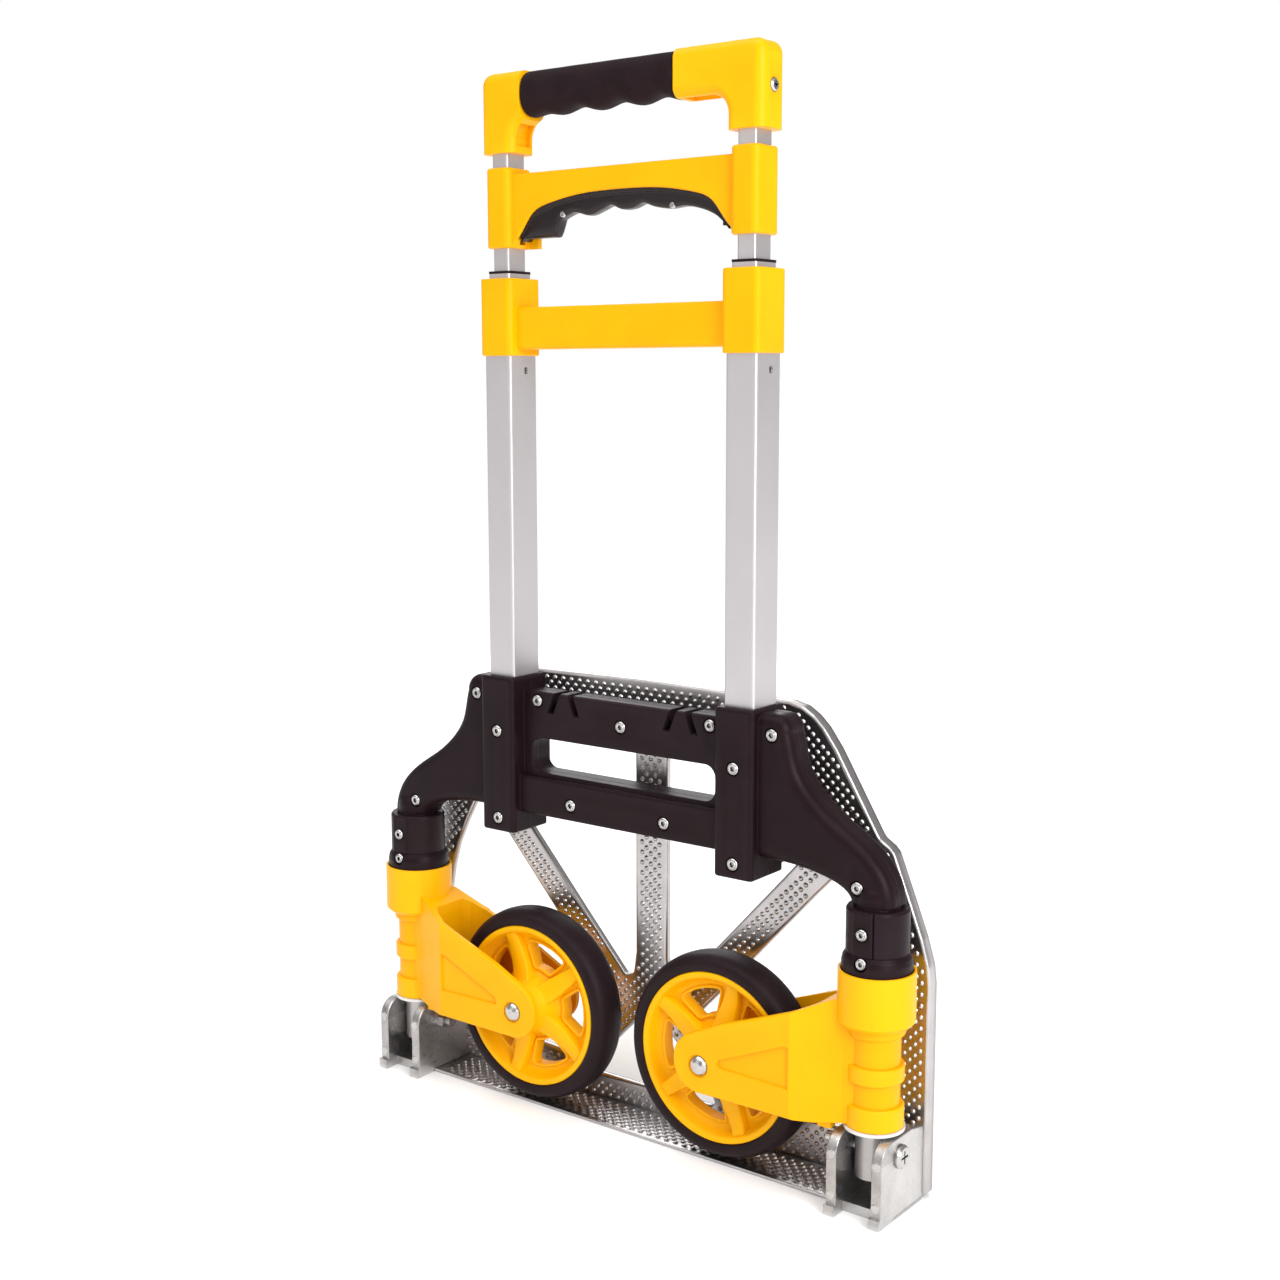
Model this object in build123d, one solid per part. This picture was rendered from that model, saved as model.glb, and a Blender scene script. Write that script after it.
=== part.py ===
"""Folding two-wheel hand truck, folded, handle down. Millimetres, +Z up, -Y is the wheel side."""
import os

from build123d import *

# ---------------------------------------------------------------- driving dimensions
Y_SHIFT = -2.4            # puts the middle of the whole object's depth on y = 0
STAGE_TRAVEL = 130.0      # lift of each telescoping stage
LEVER_TRAVEL = 5.0        # squeeze of the release lever
KNUCKLE_LIFT = 13.5       # rise of the wheel sleeves while the toe plate opens

TUBE_X = 107.7            # centre of each telescoping column
OUTER = (25.0, 30.0, 1.6, 2.6, 219.5, 620.0)    # width, depth, wall, corner, bottom, top
MID = (20.0, 25.0, 1.5, 2.2, 412.0, 632.0)
INNER = (14.6, 19.6, 1.3, 1.8, 440.0, 752.0)

COLUMN_HALF = 16.0        # housing columns round the outer tubes
COLUMN_FRONT = -21.4
COLUMN_BACK = 16.8
COLUMN_BOTTOM = 216.0
COLUMN_TOP = 335.0
UPPER_BAR = (-8.0, 12.0, 290.0, 325.0)          # front, back, bottom, top
LOWER_BAR = (-13.4, 12.0, 231.5, 261.0)
ARM_FRONT = -14.4
ARM_BACK = 12.0
ARM_ROUND_FRONT = 8.0     # rounding of the arm rims, wheel side and plate side
ARM_ROUND_BACK = 6.0
SPLIT_Y = 0.0             # joint plane of the two housing shells

PIVOT_X = 211.7           # vertical pivot tubes that carry the wheels
PIVOT_Y = -2.0
PIVOT_R = 12.7
PIVOT_BOTTOM = 24.5
PIVOT_TOP = 219.0

HINGE_Y = -3.0            # cross axis on which the toe plate folds
HINGE_Z = 43.0
WALL_IN = (190.0, 198.0)  # inner and outer cheek of each hinge bracket
WALL_OUT = (224.7, 232.5)
WALL_FRONT = -28.5
WALL_TOP = 56.8
WALL_ROUND = 14.0

WHEEL_X = 86.9
WHEEL_Z = 79.4
TYRE_R = 75.0
RIM_R = 62.6
TYRE_HALF = 14.5
FORK_FRONT = -31.5        # outer face of the front fork arm
FORK_IN = -26.9           # its inner face
FORK_END = (86.9, 81.0, 21.9)                   # round end of the fork: centre x, centre z, radius

PLATE_FRONT = 29.0        # load face of the folded toe plate
PLATE_T = 2.0
PLATE_RIM = 39.0
LIP_FRONT = -11.0
LIP_T = 2.4

GRIP_Z = 757.2
GRIP_HALF_Z = 16.3
GRIP_HALF_Y = 14.5
GRIP_END_L = -85.0
GRIP_END_R = 51.0


# ---------------------------------------------------------------- helpers
def prism_xz(points, y0, y1, radius=0.0):
    """Outline in the X-Z plane, extruded from y0 to y1."""
    face = make_face(Polyline(*points, close=True))
    if radius:
        face = fillet(face.vertices(), radius)
    plane = Plane(origin=(0, y1, 0), x_dir=(1, 0, 0), z_dir=(0, -1, 0))
    return extrude(plane * face, y1 - y0)


def prism_yz(points, x0, x1, radius=0.0):
    """Outline in the Y-Z plane, extruded from x0 to x1."""
    face = make_face(Polyline(*points, close=True))
    if radius:
        face = fillet(face.vertices(), radius)
    plane = Plane(origin=(x0, 0, 0), x_dir=(0, 1, 0), z_dir=(1, 0, 0))
    return extrude(plane * face, x1 - x0)


def prism_xy(points, z0, z1, radius=0.0):
    """Outline in the X-Y plane, extruded from z0 to z1."""
    face = make_face(Polyline(*points, close=True))
    if radius:
        face = fillet(face.vertices(), radius)
    return extrude(Plane.XY.offset(z0) * face, z1 - z0)


def block(x0, x1, y0, y1, z0, z1):
    size = Box(x1 - x0, y1 - y0, z1 - z0)
    return Pos((x0 + x1) / 2, (y0 + y1) / 2, (z0 + z1) / 2) * size


def rod_z(x, y, z0, z1, radius):
    return Pos(x, y, (z0 + z1) / 2) * Cylinder(radius, z1 - z0)


def rod_y(x, z, y0, y1, radius):
    return Pos(x, (y0 + y1) / 2, z) * Rot(90, 0, 0) * Cylinder(radius, y1 - y0)


def rod_x(y, z, x0, x1, radius):
    return Pos((x0 + x1) / 2, y, z) * Rot(0, 90, 0) * Cylinder(radius, x1 - x0)


def rounded_bar(x, y, width, depth, corner, z0, z1):
    return Pos(x, y, z0) * extrude(RectangleRounded(width, depth, corner), z1 - z0)


def box_tube(x, width, depth, wall, corner, z0, z1):
    inner = rounded_bar(x, 0, width - 2 * wall, depth - 2 * wall, corner - wall + 0.4, z0 - 1, z1 + 1)
    return rounded_bar(x, 0, width, depth, corner, z0, z1) - inner


def turned(profile, x, y):
    """Profile of (radius, height) pairs turned round a vertical axis."""
    face = Plane.XZ * make_face(Polyline(*profile, close=True))
    return Pos(x, y, 0) * revolve(face, Axis.Z)


def turned_y(profile, x, z):
    """Profile of (radius, y) pairs turned round an axis along Y."""
    face = Plane.XY * make_face(Polyline(*profile, close=True))
    return Pos(x, 0, z) * revolve(face, Axis.Y)


def round_face(shape, axis, index, radius):
    """Rounds the rim of the outermost face along an axis; index 0 is the lowest face, -1 the highest."""
    return fillet(shape.faces().sort_by(axis)[index].edges(), radius)


def mirrored(shape):
    return mirror(shape, about=Plane.YZ)


def group(shapes):
    solids = []
    for shape in shapes:
        solids.extend(shape.solids())
    return Compound(solids)


def screw_y(x, z, face_y, head_r, length, shank_r):
    """Button-head screw with a hex socket, head on the -Y side, shank along +Y."""
    head = turned_y([(0, face_y - 2.1), (head_r * 0.55, face_y - 2.0), (head_r * 0.88, face_y - 1.2),
                     (head_r, face_y), (0, face_y)], x, z)
    socket = Pos(x, face_y - 1.5, z) * Rot(90, 0, 0) * extrude(RegularPolygon(head_r * 0.42, 6), 2)
    shank = rod_y(x, z, face_y - 0.4, face_y + length, shank_r)
    return (head - socket) + shank


def screw_x(y, z, face_x, head_r, head_t, end_x, shank_r):
    """Pan-head cross-slot screw, head on the +X side, shank towards -X."""
    head = rod_x(y, z, face_x, face_x + head_t, head_r)
    head = chamfer(head.edges().filter_by(GeomType.CIRCLE).sort_by(Axis.X)[-1], head_t * 0.45)
    slot = block(face_x + head_t - 1.3, face_x + head_t + 1, y - 0.7, y + 0.7,
                 z - head_r * 0.55, z + head_r * 0.55)
    cross = block(face_x + head_t - 1.3, face_x + head_t + 1, y - head_r * 0.55,
                  y + head_r * 0.55, z - 0.7, z + 0.7)
    return (head - slot - cross) + rod_x(y, z, end_x, face_x + 0.5, shank_r)


parts = {}


# ---------------------------------------------------------------- telescoping tubes
outer = box_tube(TUBE_X, *OUTER)
outer -= rod_x(2.5, 562.0, TUBE_X - 20, TUBE_X + 20, 2.6)
for z_screw in (226.3, 293.4):
    outer -= rod_y(TUBE_X, z_screw, -30, 30, 2.3)
parts["outer_tube_right"] = outer
parts["outer_tube_left"] = mirrored(outer)

mid = box_tube(TUBE_X, *MID)
mid -= rod_x(2.5, 432.0, TUBE_X - 20, TUBE_X + 20, 2.6)
mid -= rod_x(2.5, 600.0, TUBE_X - 20, TUBE_X + 20, 2.6)
parts["mid_tube_right"] = mid
parts["mid_tube_left"] = mirrored(mid)

inner = box_tube(TUBE_X, *INNER)
inner -= block(TUBE_X - 12, TUBE_X, -2.6, 2.6, 653.0, 671.0)
inner -= rod_x(0, 744.3, TUBE_X, TUBE_X + 12, 2.2)
inner -= rod_x(2.5, 470.0, TUBE_X - 20, TUBE_X + 20, 2.6)
parts["inner_tube_right"] = inner
parts["inner_tube_left"] = mirrored(inner)

# plastic glide rings on the lower tube ends and cap seals on the mid tubes
mid_glide = rounded_bar(TUBE_X, 0, 21.1, 26.1, 2.4, 412.0, 426.0)
mid_glide -= rounded_bar(TUBE_X, 0, 20.06, 25.06, 2.2, 411.0, 427.0)
inner_glide = rounded_bar(TUBE_X, 0, 16.3, 21.3, 2.0, 440.0, 456.0)
inner_glide -= rounded_bar(TUBE_X, 0, 14.66, 19.66, 1.8, 439.0, 457.0)
parts["mid_glides"] = group([mid_glide, mirrored(mid_glide)])
parts["inner_glides"] = group([inner_glide, mirrored(inner_glide)])

seal = rounded_bar(TUBE_X, 0, 20.6, 25.6, 2.4, 632.05, 633.8)
seal += rounded_bar(TUBE_X, 0, 16.9, 21.9, 1.6, 624.0, 632.2)
seal -= rounded_bar(TUBE_X, 0, 15.4, 20.4, 1.8, 623.0, 635.0)
parts["mid_tube_seals"] = group([seal, mirrored(seal)])

# spring-loaded lock pins, shown pushed in flush
mid_pin = rod_x(2.5, 432.0, TUBE_X + 8.65, TUBE_X + 10.4, 2.58)
inner_pin = rod_x(2.5, 470.0, TUBE_X + 4.6, TUBE_X + 8.1, 2.58)
parts["mid_lock_pins"] = group([mid_pin, mirrored(mid_pin)])
parts["inner_lock_pins"] = group([inner_pin, mirrored(inner_pin)])

# ---------------------------------------------------------------- lower collar bar
collar = rounded_bar(TUBE_X, 0, 30.2, 34.6, 4.5, 572.8, 628.4)
collar = fillet(collar.edges().group_by(Axis.Z)[-1], 1.2)
collar = fillet(collar.edges().group_by(Axis.Z)[0], 1.2)
bar = block(-TUBE_X + 12, TUBE_X - 12, -9.8, 9.8, 577.3, 607.6)
bar = fillet(bar.edges().filter_by(Axis.X), 2.5)
collar_bar = collar + mirrored(collar) + bar
for side in (-1, 1):
    collar_bar -= rounded_bar(side * TUBE_X, 0, 25.1, 30.1, 2.6, 570.0, 620.05)
    collar_bar -= rounded_bar(side * TUBE_X, 0, 20.8, 25.8, 2.4, 619.0, 630.0)
collar_bar -= block(-86, 86, -7.0, 11.0, 580.0, 604.9)
for rib_x in (-60, -30, 0, 30, 60):
    collar_bar += block(rib_x - 1, rib_x + 1, -7.5, 9.0, 579.5, 605.5)
parts["collar_bar"] = collar_bar

# ---------------------------------------------------------------- upper cross bar and release lever
arch = [(-94.0, 655.5), (-86.0, 665.0), (-78.0, 674.2), (-62.0, 680.2), (-40.0, 684.0), (0.0, 685.8),
        (40.0, 684.0), (62.0, 680.2), (78.0, 674.2), (86.0, 665.0), (94.0, 655.5)]
arch_line = Spline(*[(x, z) for x, z in arch])
bar_edges = [arch_line, Line((94.0, 655.5), (96.0, 650.0)), Line((96.0, 650.0), (100.0, 650.0)),
             Line((100.0, 650.0), (100.0, 702.2)), Line((100.0, 702.2), (-100.0, 702.2)),
             Line((-100.0, 702.2), (-100.0, 650.0)), Line((-100.0, 650.0), (-96.0, 650.0)),
             Line((-96.0, 650.0), (-94.0, 655.5))]
back_plane = Plane(origin=(0, 9.0, 0), x_dir=(1, 0, 0), z_dir=(0, -1, 0))
mid_bar = extrude(back_plane * make_face(bar_edges), 18.0)
mid_bar = fillet(mid_bar.edges().group_by(Axis.Y)[0], 1.6)
mid_bar = fillet(mid_bar.edges().group_by(Axis.Y)[-1], 1.6)
mid_collar = rounded_bar(TUBE_X, 0, 22.0, 28.0, 5.0, 650.0, 707.0)
mid_collar = fillet(mid_collar.edges().group_by(Axis.Z)[-1], 2.0)
mid_collar = fillet(mid_collar.edges().group_by(Axis.Z)[0], 1.5)
mid_bar += mid_collar + mirrored(mid_collar)
mid_bar += block(-97, -86, 5.0, 11.0, 649.8, 662.0)
slot_top = [(x, z + 12.0) for x, z in arch]
slot_line = Spline(*slot_top)
slot_edges = [slot_line, Line(slot_top[-1], (94.0, 640.0)), Line((94.0, 640.0), (-94.0, 640.0)),
              Line((-94.0, 640.0), slot_top[0])]
slot_plane = Plane(origin=(0, 7.0, 0), x_dir=(1, 0, 0), z_dir=(0, -1, 0))
mid_bar -= extrude(slot_plane * make_face(slot_edges), 14.0)
for side in (-1, 1):
    mid_bar -= rounded_bar(side * TUBE_X, 0, 14.7, 19.7, 1.8, 640.0, 710.0)
    mid_bar -= block(min(side * 92, side * 102), max(side * 92, side * 102), -3.0, 3.0, 652.6, 671.4)
parts["mid_bar"] = mid_bar

lever_top = Spline(*[(x * 0.965, z + 3.5) for x, z in arch])
wave = [(90.7, 656.8), (80.0, 664.5), (68.0, 668.8), (54.0, 671.2), (40.0, 671.0), (28.0, 673.2),
        (18.0, 675.4), (8.0, 673.6), (-1.0, 673.4), (-10.0, 675.4), (-20.0, 673.0), (-30.0, 671.0),
        (-44.0, 672.0), (-55.0, 668.6)]
wave_line = Spline(*wave)
lever_edges = [lever_top, Line((90.71, 659.0), (90.7, 656.8)), wave_line,
               Line((-55.0, 668.6), (-60.0, 656.5)), Line((-60.0, 656.5), (-90.71, 656.5)),
               Line((-90.71, 656.5), (-90.71, 659.0))]
lever_plane = Plane(origin=(0, 6.6, 0), x_dir=(1, 0, 0), z_dir=(0, -1, 0))
lever = extrude(lever_plane * make_face(lever_edges), 13.2)
for hole_x in (-48.5, 47.5):
    lever -= rod_y(hole_x, 675.0, -10, 10, 1.8)
for side in (-1, 1):
    lever += block(min(side * 84, side * 109.0), max(side * 84, side * 109.0), -2.2, 2.2, 657.0, 662.0)
parts["release_lever"] = lever

rod = rod_z(TUBE_X, 0, 455.0, 656.95, 2.0)
rod += rounded_bar(TUBE_X, 0, 8.0, 13.0, 1.5, 446.0, 461.0)
parts["release_rods"] = group([rod, mirrored(rod)])

springs = []
for spring_x in (-30.0, 30.0):
    coil = Helix(1.9, 5.7, 3.4, center=(spring_x, 0, 689.9))
    wire = Plane(origin=coil @ 0, z_dir=coil % 0) * Circle(0.5)
    springs.append(sweep(wire, path=coil, is_frenet=True))
parts["lever_springs"] = group(springs)

# ---------------------------------------------------------------- handle

def elbow(end_x):
    """Moulded corner from the tube to the grip; end_x is where the grip sleeve starts."""
    top = GRIP_Z + GRIP_HALF_Z
    low = GRIP_Z - GRIP_HALF_Z
    inner_end = end_x - 24.0
    edges = [Line((92.9, 700.0), (122.5, 700.0)), Line((122.5, 700.0), (122.5, top - 9.0)),
             RadiusArc((122.5, top - 9.0), (113.5, top), -9.0),
             Line((113.5, top), (inner_end, top)), Line((inner_end, top), (inner_end, low)),
             Line((inner_end, low), (78.9, low)), RadiusArc((78.9, low), (92.9, low - 14.0), 14.0),
             Line((92.9, low - 14.0), (92.9, 700.0))]
    plane = Plane(origin=(0, GRIP_HALF_Y - 0.5, 0), x_dir=(1, 0, 0), z_dir=(0, -1, 0))
    body = extrude(plane * make_face(edges), 2 * GRIP_HALF_Y - 1.0)
    body = round_face(body, Axis.Y, 0, 7.0)
    body = round_face(body, Axis.Y, -1, 7.0)
    body &= block(end_x, 130.0, -30, 30, 717.0, 780.0)
    body -= rounded_bar(TUBE_X, 0, 14.7, 19.7, 1.8, 710.0, 752.05)
    body -= rod_x(0, 744.3, 104.0, 130.0, 2.15)
    body -= rod_x(0, 744.3, 121.4, 130.0, 4.8)
    body -= rod_x(0, GRIP_Z, end_x - 2, 99.05, 9.05)
    pocket = rod_y(78.9, low - 14.0, -7.6, 7.6, 18.4) & block(78.9, 110.0, -8, 8, low - 14.0, 760.0)
    pocket += block(92.0, 97.3, -7.6, 7.6, 722.0, low - 13.9)
    pocket += block(50.0, 79.0, -7.6, 7.6, low - 1.0, low + 4.4)
    return body - (pocket & block(end_x + 4.0, 110.0, -8, 8, 700.0, 760.0))


parts["handle_elbow_right"] = elbow(GRIP_END_R)
parts["handle_elbow_left"] = mirrored(elbow(-GRIP_END_L))

grip_face = RectangleRounded(2 * GRIP_HALF_Y, 2 * GRIP_HALF_Z - 0.6, 13.5)
grip_plane = Plane(origin=(GRIP_END_L, 0, GRIP_Z + 0.2), x_dir=(0, 1, 0), z_dir=(1, 0, 0))
grip = extrude(grip_plane * grip_face, GRIP_END_R - GRIP_END_L)
grip -= rod_x(0, GRIP_Z, -120, 120, 9.05)
parts["grip"] = grip
parts["grip_core"] = rod_x(0, GRIP_Z, -99, 99, 9.0) - rod_x(0, GRIP_Z, -100, 100, 7.6)
elbow_screw = screw_x(0, 744.3, 121.4, 4.4, 2.4, 104.2, 2.1)
parts["elbow_screws"] = group([elbow_screw, mirrored(elbow_screw)])

# ---------------------------------------------------------------- moulded housing
outer_curve = [(146.5, 320.0), (149.5, 308.0), (152.6, 297.0), (158.5, 287.0), (167.0, 277.8),
               (180.0, 267.3), (197.0, 256.6), (211.0, 246.2), (220.4, 235.5), (225.4, 225.0),
               (227.2, 212.0)]
inner_curve = [(196.2, 212.0), (193.6, 217.3), (186.0, 222.6), (174.0, 226.6), (160.0, 229.4),
               (140.0, 231.3)]
arm_edges = [Line((118.0, 332.5), (136.0, 332.5)), RadiusArc((136.0, 332.5), (146.5, 320.0), 12.0),
             Spline(*outer_curve), Line((227.2, 212.0), (227.2, 180.0)),
             Line((227.2, 180.0), (196.2, 180.0)), Line((196.2, 180.0), (196.2, 212.0)),
             Spline(*inner_curve), Line((140.0, 231.3), (118.0, 231.3)),
             Line((118.0, 231.3), (118.0, 332.5))]
arm_plane = Plane(origin=(0, ARM_BACK, 0), x_dir=(1, 0, 0), z_dir=(0, -1, 0))
arm = extrude(arm_plane * make_face(arm_edges), ARM_BACK - ARM_FRONT)
for face_index, radius in ((0, ARM_ROUND_FRONT), (-1, ARM_ROUND_BACK)):
    rim_edges = [e for e in arm.faces().sort_by(Axis.Y)[face_index].edges()
                 if e.center().X > 118.5 and e.center().Z > 180.5]
    arm = fillet(rim_edges, radius)
arm -= block(150, 235, -30, 30, 170.0, 213.5)
arm += turned([(0, 207.0), (15.5, 207.0), (15.5, 212.4), (15.2, 213.0), (15.2, 219.5), (14.4, 223.5),
               (12.0, 227.0), (8.0, 229.0), (0, 229.6)], PIVOT_X, PIVOT_Y)

column = block(TUBE_X - COLUMN_HALF, TUBE_X + COLUMN_HALF, COLUMN_FRONT, COLUMN_BACK,
               COLUMN_BOTTOM, COLUMN_TOP)
column = fillet(column.edges().filter_by(Axis.Z).group_by(Axis.Y)[0], 3.5)
column = fillet(column.edges().group_by(Axis.Z)[0], 1.8)
column = fillet(column.edges().group_by(Axis.Z)[-1], 2.5)
pad_pts = [(COLUMN_BACK - 2, 222.0), (21.0, 222.0), (24.0, 230.0), (24.0, 285.0), (20.0, 296.0),
           (COLUMN_BACK - 2, 300.0)]
column += prism_yz(pad_pts, TUBE_X - 14.0, TUBE_X + 16.0)
half = column + arm
upper = block(-95, 95, UPPER_BAR[0], UPPER_BAR[1], UPPER_BAR[2], UPPER_BAR[3])
upper = fillet(upper.edges().filter_by(Axis.X).group_by(Axis.Z)[-1], 3.0)
lower = block(-95, 95, LOWER_BAR[0], LOWER_BAR[1], LOWER_BAR[2], LOWER_BAR[3])
lower = fillet(lower.edges().filter_by(Axis.X), 2.5)
webs = block(-95, 95, UPPER_BAR[0], UPPER_BAR[1], 255.0, 295.0)
hand_slot = prism_xz([(-84, 263.5), (84, 263.5), (84, 290.0), (-84, 290.0)], -30, 30, 9.0)
housing = half + mirrored(half) + upper + lower + webs
housing -= hand_slot
housing -= prism_yz([(-14.0, 261.0), (-8.0, 266.0), (-8.0, 280.0), (-14.0, 280.0)], -84, 84)
for side in (-1, 1):
    for top_x, low_x in ((48.5, 41.0), (58.5, 66.0)):
        slot_pts = [(side * (top_x - 3), 328), (side * (top_x + 3), 328), (side * (low_x + 3), 309.5),
                    (side * (low_x - 3), 309.5)]
        if side < 0:
            slot_pts.reverse()
        housing -= prism_xz(slot_pts, -30, 30)
    housing -= rounded_bar(side * TUBE_X, 0, 25.1, 30.1, 2.6, OUTER[4] - 0.05, 340.0)
    housing -= rod_z(side * PIVOT_X, PIVOT_Y, 200.0, PIVOT_TOP + 0.05, PIVOT_R + 0.05)

# screw positions: x, z, face y, shank length
screws = [(TUBE_X, 293.4, COLUMN_FRONT, 33.0), (TUBE_X, 226.3, COLUMN_FRONT, 33.0),
          (78.8, 317.8, UPPER_BAR[0], 17.0), (42.9, 243.4, LOWER_BAR[0], 22.0),
          (134.1, 318.7, ARM_FRONT, 22.0), (202.1, 224.5, ARM_FRONT, 22.0)]
screw_solids = []
cavity = block(-36, 36, -5.2, 9.2, 293.5, 321.5)
cavity += block(-82, 82, -10.4, 9.2, 234.5, 257.5)
bosses = rod_y(0, 307.0, -9, 12, 5.0)
for sx, sz, sy, length in screws:
    for side in (-1, 1):
        housing -= rod_y(side * sx, sz, sy - 1, sy + 1.4, 5.3)
        housing -= rod_y(side * sx, sz, sy, sy + length + 0.6, 2.05)
        screw_solids.append(screw_y(side * sx, sz, sy + 1.4, 4.6, length - 1.4, 2.0))
        if sx == 42.9:
            bosses += rod_y(side * sx, sz, -12, 12, 5.5) - rod_y(side * sx, sz, -20, 9.0, 2.05)
housing -= rod_y(0, 307.0, UPPER_BAR[0] - 1, UPPER_BAR[0] + 1.4, 5.3)
housing -= cavity - bosses
housing -= rod_y(0, 307.0, UPPER_BAR[0], UPPER_BAR[0] + 17.6, 2.05)
screw_solids.append(screw_y(0, 307.0, UPPER_BAR[0] + 1.4, 4.6, 15.6, 2.0))
arm_hollow = [(150.0, 236.0), (176.0, 232.0), (192.0, 236.0), (190.0, 255.0), (172.0, 266.0),
              (158.0, 278.0), (150.0, 290.0), (145.0, 306.0), (128.5, 306.0), (128.5, 236.0)]
hollow = prism_xz(arm_hollow, -11.4, 9.0)
housing -= hollow + mirrored(hollow)
parts["housing_front"] = housing & block(-260, 260, -60, SPLIT_Y, 150, 400)
parts["housing_rear"] = housing & block(-260, 260, SPLIT_Y + 0.1, 60, 150, 400)
parts["housing_screws"] = group(screw_solids)

# ---------------------------------------------------------------- pivot tubes, clamps, collars
pivot = rod_z(PIVOT_X, PIVOT_Y, PIVOT_BOTTOM, PIVOT_TOP, PIVOT_R)
pivot -= rod_z(PIVOT_X, PIVOT_Y, PIVOT_BOTTOM - 1, PIVOT_TOP + 1, PIVOT_R - 1.6)
pivot -= rod_x(HINGE_Y, HINGE_Z, PIVOT_X - 20, PIVOT_X + 20, 4.06)
parts["pivot_tube_right"] = pivot
parts["pivot_tube_left"] = mirrored(pivot)

clamp = turned([(PIVOT_R + 0.05, 181.6), (21.3, 181.6), (21.3, 210.5), (20.3, 212.0), (16.2, 212.0),
                (16.2, 206.6), (PIVOT_R + 0.05, 206.6)], PIVOT_X, PIVOT_Y)
clamp_boss = block(PIVOT_X - 7.2, PIVOT_X + 7.2, PIVOT_Y - 21.4, PIVOT_Y - 17.0, 181.6, 212.0)
clamp += fillet(clamp_boss.edges().group_by(Axis.Y)[0], 1.0)
clamp -= block(PIVOT_X + 7.2, PIVOT_X + 8.0, PIVOT_Y - 30.0, PIVOT_Y - 17.5, 180.0, 213.0)
collar_bush = turned([(PIVOT_R + 0.05, 158.0), (24.0, 158.0), (24.0, 175.0), (23.2, 178.6),
                      (21.3, 181.5), (PIVOT_R + 0.05, 181.5)], PIVOT_X, PIVOT_Y)
collar_bush += block(PIVOT_X - 7.2, PIVOT_X + 7.2, PIVOT_Y - 21.4, PIVOT_Y - 17.0, 170.0, 181.5)
clamp_screw_hi = screw_y(PIVOT_X, 197.0, PIVOT_Y - 21.0, 4.2, 4.2, 1.6)
clamp_screw_lo = screw_y(PIVOT_X, 177.2, PIVOT_Y - 21.0, 4.2, 4.2, 1.6)
clamp -= rod_y(PIVOT_X, 197.0, PIVOT_Y - 24, PIVOT_Y - 21.0, 4.9)
clamp -= rod_y(PIVOT_X, 197.0, PIVOT_Y - 24, PIVOT_Y - 16.7, 1.65)
collar_bush -= rod_y(PIVOT_X, 177.2, PIVOT_Y - 24.5, PIVOT_Y - 21.0, 4.9)
collar_bush -= rod_y(PIVOT_X, 177.2, PIVOT_Y - 24, PIVOT_Y - 16.7, 1.65)
parts["clamp_right"] = clamp
parts["clamp_left"] = mirrored(clamp)
parts["collar_bush_right"] = collar_bush
parts["collar_bush_left"] = mirrored(collar_bush)
parts["clamp_screws"] = group([clamp_screw_hi, clamp_screw_lo, mirrored(clamp_screw_hi),
                               mirrored(clamp_screw_lo)])

coil = Helix(2.4, 3.6, 18.6, center=(PIVOT_X, PIVOT_Y, 153.5))
wire = Plane(origin=coil @ 0, z_dir=coil % 0) * Circle(0.6)
cup_spring = sweep(wire, path=coil, is_frenet=True)
parts["cup_springs"] = group([cup_spring, mirrored(cup_spring)])

# ---------------------------------------------------------------- wheel knuckles
knuckle_profile = [(PIVOT_R + 0.06, 61.1), (19.8, 61.1), (19.8, 75.4), (18.9, 76.6), (17.0, 76.6),
                   (17.0, 92.9), (19.0, 92.9), (19.7, 93.8), (19.7, 103.6), (18.9, 104.6), (17.0, 104.6),
                   (17.0, 124.6), (18.8, 124.6), (19.8, 125.8), (19.8, 131.0), (23.5, 131.6),
                   (26.3, 134.5), (26.3, 169.2), (24.6, 169.2), (24.6, 138.9), (PIVOT_R + 0.06, 138.9)]
sleeve = turned(knuckle_profile, PIVOT_X, PIVOT_Y)

end_x, end_z, end_r = FORK_END
tangent = (end_x - 0.432 * end_r, end_z + 0.902 * end_r)
fork_side = [(60.0, 92.4), (104.4, 113.6), (144.4, 128.6), (164.4, 136.4), (190.0, 148.0),
             (212.0, 151.0), (212.0, 62.5), (196.0, 62.0), (178.0, 59.9), (60.0, end_z - end_r)]
fork_plan = [(60.0, FORK_FRONT), (162.0, FORK_FRONT), (196.0, -18.5), (205.0, -17.0), (205.0, 14.0),
             (188.0, 18.0), (158.0, 23.6), (60.0, 23.6)]
pocket_plan = [(40.0, FORK_IN), (160.5, FORK_IN), (172.0, -22.0), (177.0, -18.0), (177.0, 11.0),
               (172.0, 15.4), (158.0, 19.2), (40.0, 19.2)]
fork = prism_xy(fork_plan, 50.0, 160.0) & prism_xz(fork_side, -40.0, 40.0)
fork = round_face(fork, Axis.Y, 0, 1.4)
fork = round_face(fork, Axis.Y, -1, 1.4)
trim = [(end_x, end_z), tangent, (tangent[0] - 13.0, tangent[1] + 27.1), (20.0, 130.0), (20.0, 40.0),
        (end_x, 40.0)]
hub_end = rod_y(end_x, end_z, FORK_FRONT, 23.6, end_r)
hub_end = fillet(hub_end.edges(), 1.4)
fork = (fork - prism_xz(trim, -60.0, 60.0)) + hub_end
fork = fork - prism_xy(pocket_plan, 40.0, 170.0)
recess = prism_xz([(101.2, 82.0), (104.2, 87.8), (157.0, 110.4), (165.0, 110.0), (165.0, 80.6)],
                  FORK_FRONT - 3.0, FORK_FRONT + 1.6, 2.4)
recess &= block(90.0, 160.8, -40.0, 0.0, 70.0, 120.0)
fork -= recess
knuckle = fork - rod_z(PIVOT_X, PIVOT_Y, 40.0, 170.0, 15.0)
knuckle -= rod_z(PIVOT_X, PIVOT_Y, 138.9, 175.0, 24.6)
knuckle += sleeve
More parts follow.
